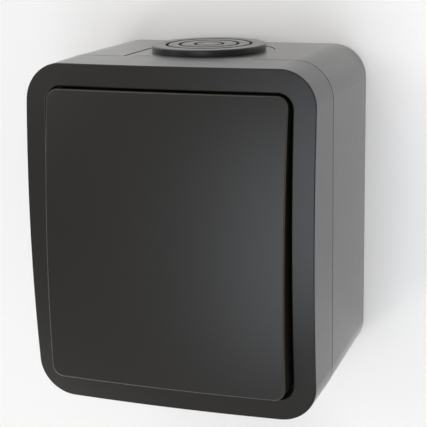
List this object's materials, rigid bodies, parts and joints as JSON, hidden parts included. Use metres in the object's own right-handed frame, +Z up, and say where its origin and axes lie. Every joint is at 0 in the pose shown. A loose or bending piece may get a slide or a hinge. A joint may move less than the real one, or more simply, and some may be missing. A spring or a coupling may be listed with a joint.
{
  "type": "outdoor weatherproof switch",
  "caption": "Surface-mounted weatherproof rocker switch: a crowned sealed housing with a large tilting rocker and a membrane cable entry on top.",
  "frame": {"origin": "middle of the back face, on the wall plane", "axes": "+Z up, +X to the right seen from the front, +Y into the wall, so the front faces -Y"},
  "size_m": [0.0754, 0.0612, 0.0897],
  "materials": {
    "housing_plastic": "fine grained anthracite",
    "rocker_plastic": "fine grained anthracite",
    "entry_rubber": "satin",
    "seal_rubber": "matt",
    "insert_plastic": "satin",
    "carrier_plastic": "satin",
    "plunger_plastic": "satin",
    "zinc_steel": "zinc plated",
    "spring_steel": "drawn",
    "brass": "stamped",
    "copper": "stamped",
    "silver": "satin"
  },
  "bodies": {
    "housing": {"rear_box": "housing_plastic", "entry_plate": "housing_plastic", "entry_grommet": "entry_rubber", "housing_seal": "seal_rubber", "front_cover": "housing_plastic", "cover_screws": "zinc_steel", "screw_seals": "seal_rubber", "insert_seal": "seal_rubber", "switch_base": "insert_plastic", "switch_cap": "insert_plastic", "cap_rivets": "brass", "insert_screws": "zinc_steel", "rocker_boot": "seal_rubber", "fixed_contacts": "silver", "common_terminal": "brass", "lower_terminal": "brass", "upper_terminal": "brass", "clamp_plates": "zinc_steel", "terminal_screws": "zinc_steel", "earth_terminal": "brass", "earth_screws": "zinc_steel"},
    "rocker": {"rocker": "rocker_plastic", "rocker_carrier": "carrier_plastic", "toggle_spring": "spring_steel"},
    "plunger": {"toggle_plunger": "plunger_plastic"},
    "contact_arm": {"contact_arm": "copper", "moving_contacts": "silver"}
  },
  "joints": [
    {"name": "rocker_tilt", "type": "hinge", "parent": "housing", "child": "rocker", "pos_m": [0, -0.0445, 0], "axis": [1, 0, 0], "range_deg": [0, 6.3], "deforming": ["rocker_boot"]},
    {"name": "contact_arm_tilt", "type": "hinge", "parent": "housing", "child": "contact_arm", "pos_m": [0, -0.02, 0], "axis": [1, 0, 0], "range_deg": [-16.02, 0]},
    {"name": "plunger_slide", "type": "slide", "parent": "rocker", "child": "plunger", "axis": [0, -0.9985, 0.055], "range_m": [0, 0.0005], "stiffness_N_per_m": 400, "springref_m": -0.003, "deforming": ["toggle_spring"]}
  ],
  "couplings": [
    {"joint": "contact_arm_tilt", "follows": "rocker_tilt", "ratio": -2.5397}
  ]
}
